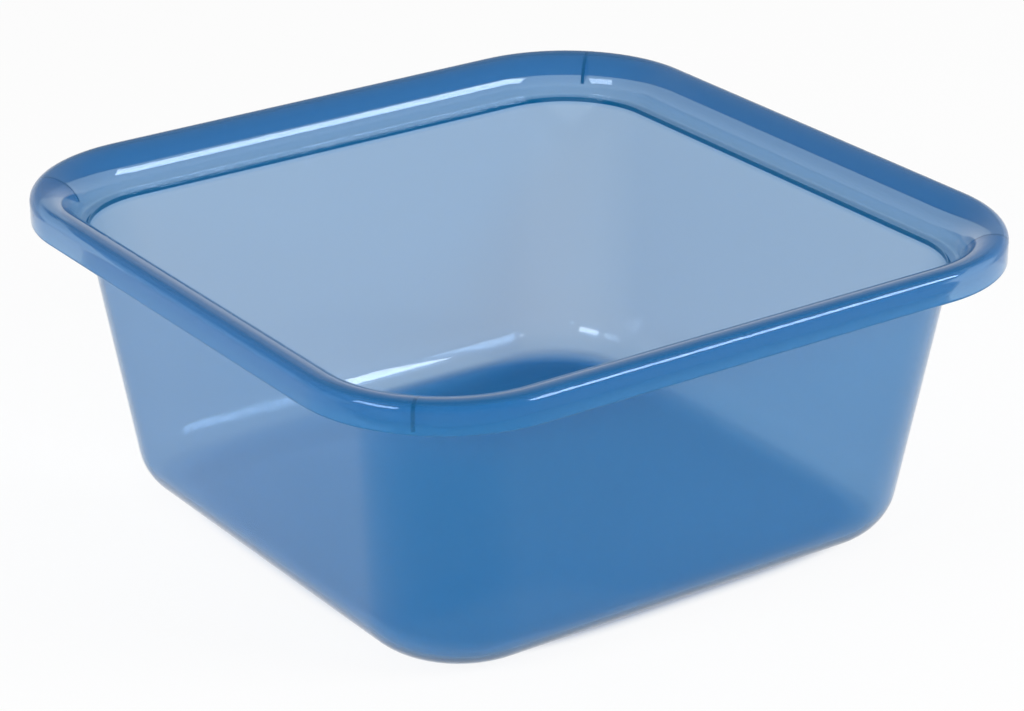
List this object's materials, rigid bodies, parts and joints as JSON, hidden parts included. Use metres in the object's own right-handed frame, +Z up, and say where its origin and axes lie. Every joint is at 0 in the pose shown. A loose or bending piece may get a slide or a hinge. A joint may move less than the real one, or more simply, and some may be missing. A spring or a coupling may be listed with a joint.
{
  "type": "washing up bowl",
  "caption": "Square washing up bowl moulded in tinted clear plastic, with a rolled rim, a stacking shoulder and webs under the rim's corners.",
  "frame": {"origin": "centre of the underside of the base, on the surface that the bowl stands on", "axes": "+Z up out of the bowl's mouth; X and Y square to the straight sides, which are alike"},
  "size_m": [0.31, 0.31, 0.13],
  "materials": {
    "clear_blue_plastic": "gloss, see-through, tinted through the whole thickness"
  },
  "bodies": {
    "root": {"bowl": "clear_blue_plastic"}
  },
  "joints": []
}
